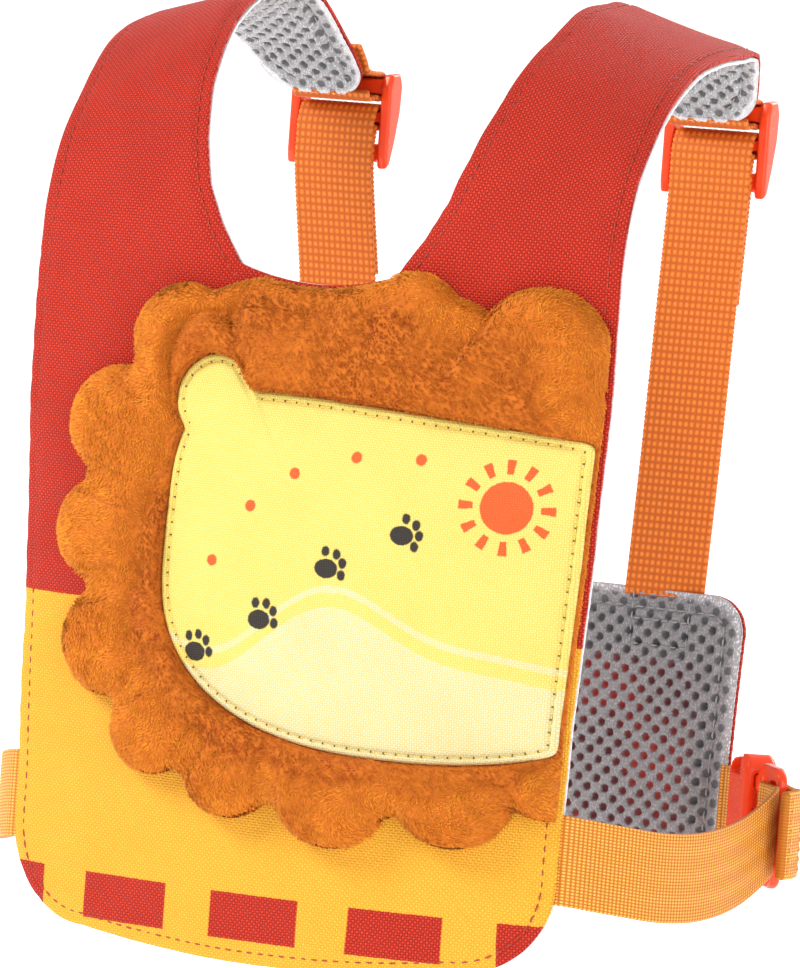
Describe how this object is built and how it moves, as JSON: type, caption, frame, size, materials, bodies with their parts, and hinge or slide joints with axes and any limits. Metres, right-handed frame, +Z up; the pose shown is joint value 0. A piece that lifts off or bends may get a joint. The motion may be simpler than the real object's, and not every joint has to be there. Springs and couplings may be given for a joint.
{
  "type": "toddler harness backpack",
  "caption": "Padded toddler harness with a wide front vest, plush mane and face patch, shoulder straps, mesh-lined back pad and buckled waist webbing, shown in its worn shape.",
  "frame": {"origin": "between the shoulders, on the level of the straps' undersides at the top of the shoulder", "axes": "+Z up, the front panel faces -Y, +X is the viewer's right as seen from the front"},
  "size_m": [0.2402, 0.1697, 0.2748],
  "materials": {
    "red_weave": "woven polyester, slight sheen",
    "grey_mesh": "spacer mesh",
    "orange_plush": "short plush pile",
    "yellow_weave": "printed fine weave",
    "orange_webbing": "ribbed webbing",
    "coral_plastic": "moulded, glossy"
  },
  "bodies": {
    "root": {"front_shell": "red_weave", "front_lining": "grey_mesh", "mane": "orange_plush", "face_patch": "yellow_weave", "back_pad_shell": "red_weave", "back_pad_lining": "grey_mesh", "shoulder_slider_left": "coral_plastic", "shoulder_slider_right": "coral_plastic", "strap_tab_left": "orange_webbing", "strap_tab_right": "orange_webbing", "shoulder_webbing_left": "orange_webbing", "shoulder_webbing_right": "orange_webbing", "waist_webbing_left": "orange_webbing", "waist_webbing_right": "orange_webbing", "waist_tail_left": "orange_webbing", "waist_tail_right": "orange_webbing", "buckle_plug_left": "coral_plastic", "buckle_plug_right": "coral_plastic", "buckle_socket_left": "coral_plastic", "buckle_socket_right": "coral_plastic", "buckle_tab_left": "orange_webbing", "buckle_tab_right": "orange_webbing"}
  },
  "joints": []
}
